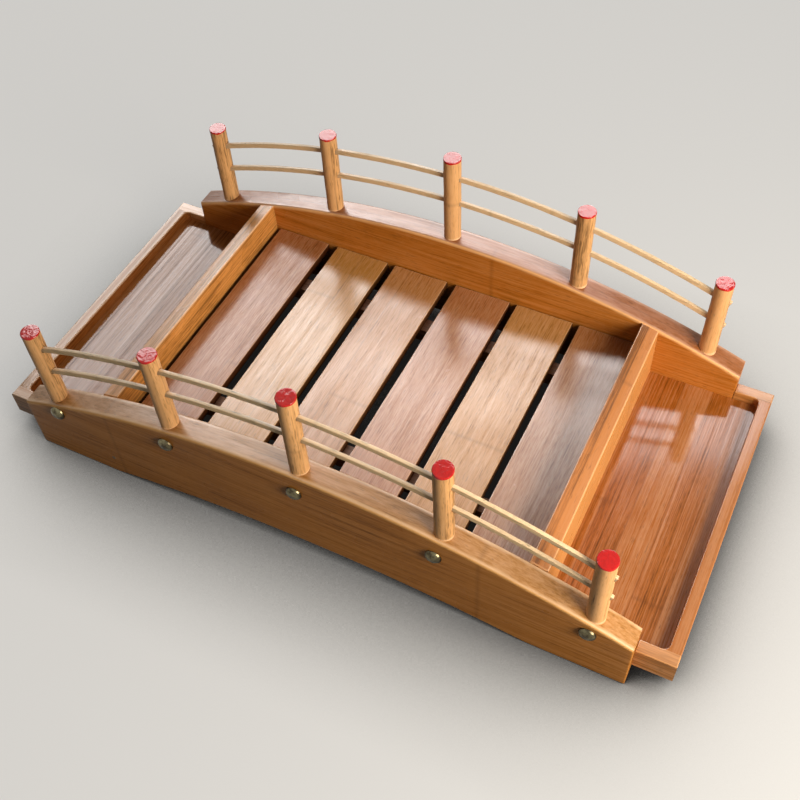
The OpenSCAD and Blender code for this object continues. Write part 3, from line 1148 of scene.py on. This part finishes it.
def soft_light(
    name, azimuth, elevation, distance, size, power, tint, wall=None, kinds=("diffuse", "glossy")
):
    """A rectangular lamp seen from the board at an azimuth, counted from +X, and an elevation. It
    faces the board, or stands upright in a wall at the azimuth wall. In degrees and metres."""
    lamp = bpy.data.lights.new(name, "AREA")
    lamp.shape = "RECTANGLE"
    lamp.size, lamp.size_y = size
    lamp.energy = power
    lamp.color = tint
    light = bpy.data.objects.new(name, lamp)
    turn, rise = math.radians(azimuth), math.radians(elevation)
    level = math.cos(rise)
    away = Vector((math.cos(turn) * level, math.sin(turn) * level, math.sin(rise)))
    light.location = away * distance
    if wall is not None:
        away = Vector((math.cos(math.radians(wall)), math.sin(math.radians(wall)), 0))
    light.rotation_euler = (-away).to_track_quat("-Z", "Y").to_euler()
    light.visible_camera = False
    light.visible_diffuse = "diffuse" in kinds
    light.visible_glossy = "glossy" in kinds
    bpy.context.scene.collection.objects.link(light)


# Strength of the room, and watts of the window in the gloss, of its light and of the side lamp
ROOM = 0.17
PANE = 399.0
WINDOW = 38.0
SIDE_LAMP = 7.6


def make_light():
    """A big window behind the board, a lamp at the right, and a dim room. The window is two lamps
    in one place, because the wood shows it brighter in its gloss than its light would allow."""
    world = bpy.data.worlds.new("studio")
    bpy.context.scene.world = world
    world.use_nodes = True
    tree = world.node_tree
    tree.nodes.clear()
    room = add(tree, "ShaderNodeBackground", {"Color": linear("#d8dade"), "Strength": ROOM})
    shown = add(tree, "ShaderNodeBackground", {"Color": linear("#f4f3f0")})
    both = add(
        tree,
        "ShaderNodeMixShader",
        {0: seen_plainly(tree), 1: room.outputs[0], 2: shown.outputs[0]},
    )
    add(tree, "ShaderNodeOutputWorld", {"Surface": both.outputs[0]})
    daylight = (1.0, 0.985, 0.975)
    soft_light("window in gloss", 120, 42.2, 4.11, (3.98, 3.0), PANE, daylight, 110, ("glossy",))
    soft_light("window", 118, 38.5, 3.0, (2.84, 2.0), WINDOW, daylight, None, ("diffuse",))
    soft_light("side lamp", -16.7, 28.5, 0.73, (0.4, 0.4), SIDE_LAMP, (1.0, 0.9, 0.76))


# The photograph's camera: place, aim, lens and sensor in millimetres, roll in degrees, and shift as
# a share of the sensor
CAMERA_AT = Vector((204.0, -346.7, 533.8))
CAMERA_AIM = Vector((4.8, 20.0, 0.0))
CAMERA_ROLL = -3.17
CAMERA_LENS = 48.3
CAMERA_SENSOR = 36
CAMERA_SHIFT = -0.0128


def make_camera(scene):
    """The photograph's camera, at its height, angle and small roll."""
    lens = bpy.data.cameras.new("camera")
    lens.sensor_width = CAMERA_SENSOR
    lens.lens = CAMERA_LENS
    lens.shift_x = CAMERA_SHIFT
    lens.clip_start, lens.clip_end = 0.02, 40
    camera = bpy.data.objects.new("camera", lens)
    aim = (CAMERA_AIM - CAMERA_AT).to_track_quat("-Z", "Y")
    roll = Matrix.Rotation(math.radians(CAMERA_ROLL), 4, "Z")
    camera.matrix_world = Matrix.Translation(CAMERA_AT * MM) @ aim.to_matrix().to_4x4() @ roll
    scene.collection.objects.link(camera)
    scene.camera = camera


STEPS = (
    BRIDGE_OT_beams,
    BRIDGE_OT_trays,
    BRIDGE_OT_walls,
    BRIDGE_OT_slats,
    BRIDGE_OT_bearers,
    BRIDGE_OT_posts,
    BRIDGE_OT_rails,
    BRIDGE_OT_nails,
    BRIDGE_OT_brads,
    BRIDGE_OT_stage,
)


class BRIDGE_PT_panel(bpy.types.Panel):
    """Sidebar panel with the sizes, the colours and one button for each group of pieces"""

    bl_idname = "BRIDGE_PT_panel"
    bl_label = "Bridge board"
    bl_space_type = "VIEW_3D"
    bl_region_type = "UI"
    bl_category = "Bridge board"

    def draw(self, context):
        for group in (context.scene.bridge_sizes, context.scene.bridge_finish):
            box = self.layout.box()
            for name in group.bl_rna.properties.keys():
                if name not in ("rna_type", "name"):
                    box.prop(group, name)
        for step in STEPS:
            self.layout.operator(step.bl_idname)


CLASSES = (BridgeSizes, BridgeFinish, *STEPS, BRIDGE_PT_panel)
GROUPS = {"bridge_sizes": BridgeSizes, "bridge_finish": BridgeFinish}


def register():
    for item in CLASSES:
        bpy.utils.register_class(item)
    for name, group in GROUPS.items():
        setattr(bpy.types.Scene, name, bpy.props.PointerProperty(type=group))


def unregister():
    for name in GROUPS:
        delattr(bpy.types.Scene, name)
    for item in reversed(CLASSES):
        bpy.utils.unregister_class(item)


def main():
    """Builds everything in order."""
    register()
    bpy.ops.bridge.beams()
    bpy.ops.bridge.trays()
    bpy.ops.bridge.walls()
    bpy.ops.bridge.slats()
    bpy.ops.bridge.bearers()
    bpy.ops.bridge.posts()
    bpy.ops.bridge.rails()
    bpy.ops.bridge.nails()
    bpy.ops.bridge.brads()
    bpy.ops.bridge.stage()


if __name__ == "__main__":
    main()
